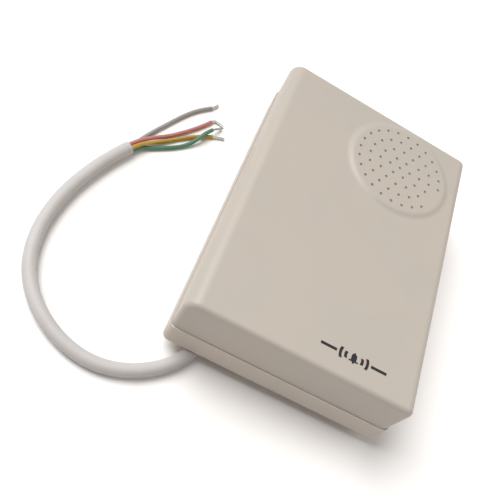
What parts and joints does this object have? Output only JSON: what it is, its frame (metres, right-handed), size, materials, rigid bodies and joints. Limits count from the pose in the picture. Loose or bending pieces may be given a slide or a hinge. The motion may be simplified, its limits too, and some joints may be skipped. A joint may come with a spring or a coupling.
{
  "type": "doorbell",
  "caption": "Wired door chime: flat rectangular box with a round drilled grille over a small loudspeaker, a lift-off front cover and a free multi-core cable with bared ends.",
  "frame": {"origin": "middle of the plane of the stand-off rim, which rests on the wall", "axes": "+Z out of the front face, +Y up the long side towards the grille, +X to the right"},
  "size_m": [0.1408, 0.145, 0.0349],
  "materials": {
    "case_plastic": "fine satin, warm beige-grey ABS",
    "print_ink": "black pad print",
    "foam": "closed-cell foam",
    "basket_steel": "zinc-plated pressed steel",
    "plated_steel": "yellow-passivated steel",
    "ferrite": "sintered ferrite",
    "former_foil": "polyimide foil",
    "copper_wire": "enamelled copper",
    "cone_paper": "pressed black paper",
    "cap_film": "black film",
    "surround_rubber": "thin rubber roll",
    "spider_cloth": "phenolic cloth",
    "board_laminate": "paper laminate",
    "tinned_metal": "tinned copper",
    "screw_steel": "zinc-plated steel",
    "chip_black": "moulded epoxy",
    "can_sleeve": "shrunk sleeve on an aluminium can",
    "ceramic_brown": "dipped ceramic disc",
    "resistor_beige": "lacquered film resistor",
    "trimmer_blue": "moulded housing",
    "trimmer_white": "moulded rotor",
    "terminal_green": "moulded terminal housing",
    "clamp_plastic": "moulded plastic",
    "cable_jacket": "off-white soft vinyl jacket",
    "insulation_grey": "vinyl insulation",
    "insulation_red": "vinyl insulation",
    "insulation_yellow": "vinyl insulation",
    "insulation_green": "vinyl insulation",
    "insulation_black": "vinyl insulation"
  },
  "bodies": {
    "base": {"rear_base": "case_plastic", "speaker_gasket": "foam", "speaker_basket": "basket_steel", "speaker_top_plate": "plated_steel", "speaker_magnet": "ferrite", "speaker_yoke": "plated_steel", "cone_surround": "surround_rubber", "cone_spider": "spider_cloth", "speaker_tag_board": "board_laminate", "speaker_tags": "tinned_metal", "speaker_screws": "screw_steel", "circuit_board": "board_laminate", "solder_joints": "tinned_metal", "board_screws": "screw_steel", "melody_chip": "chip_black", "chip_legs": "tinned_metal", "driver_transistor": "chip_black", "transistor_legs": "tinned_metal", "large_capacitor": "can_sleeve", "small_capacitor": "can_sleeve", "ceramic_capacitors": "ceramic_brown", "resistors": "resistor_beige", "rectifier_diode": "chip_black", "volume_trimmer": "trimmer_blue", "terminal_block": "terminal_green", "terminal_screws": "screw_steel", "speaker_lead_red": "insulation_red", "speaker_lead_black": "insulation_black", "cable_clamp": "clamp_plastic", "clamp_screws": "screw_steel", "cable_inner": "cable_jacket", "inner_core_grey": "insulation_grey", "inner_core_red": "insulation_red", "inner_core_yellow": "insulation_yellow", "inner_core_green": "insulation_green", "cable_tail": "cable_jacket", "core_grey": "insulation_grey", "core_red": "insulation_red", "core_yellow": "insulation_yellow", "core_green": "insulation_green", "tip_grey": "tinned_metal", "tip_red": "tinned_metal", "tip_yellow": "tinned_metal", "tip_green": "tinned_metal"},
    "cover": {"front_cover": "case_plastic", "front_mark": "print_ink"},
    "diaphragm": {"speaker_cone": "cone_paper", "dust_cap": "cap_film", "voice_coil_former": "former_foil", "voice_coil_winding": "copper_wire"},
    "trimmer": {"trimmer_rotor": "trimmer_white"}
  },
  "joints": [
    {"name": "cover_lift", "type": "slide", "parent": "base", "child": "cover", "axis": [0, 0, 1], "range_m": [0, 0.045]},
    {"name": "diaphragm_travel", "type": "slide", "parent": "base", "child": "diaphragm", "axis": [0, 0, 1], "range_m": [-0.0005, 0.0005], "stiffness_N_per_m": 1000, "deforming": ["cone_surround", "cone_spider"]},
    {"name": "volume_turn", "type": "hinge", "parent": "base", "child": "trimmer", "pos_m": [0.03, -0.0033, 0.018], "axis": [0, 0, 1], "range_deg": [-135, 135]}
  ]
}
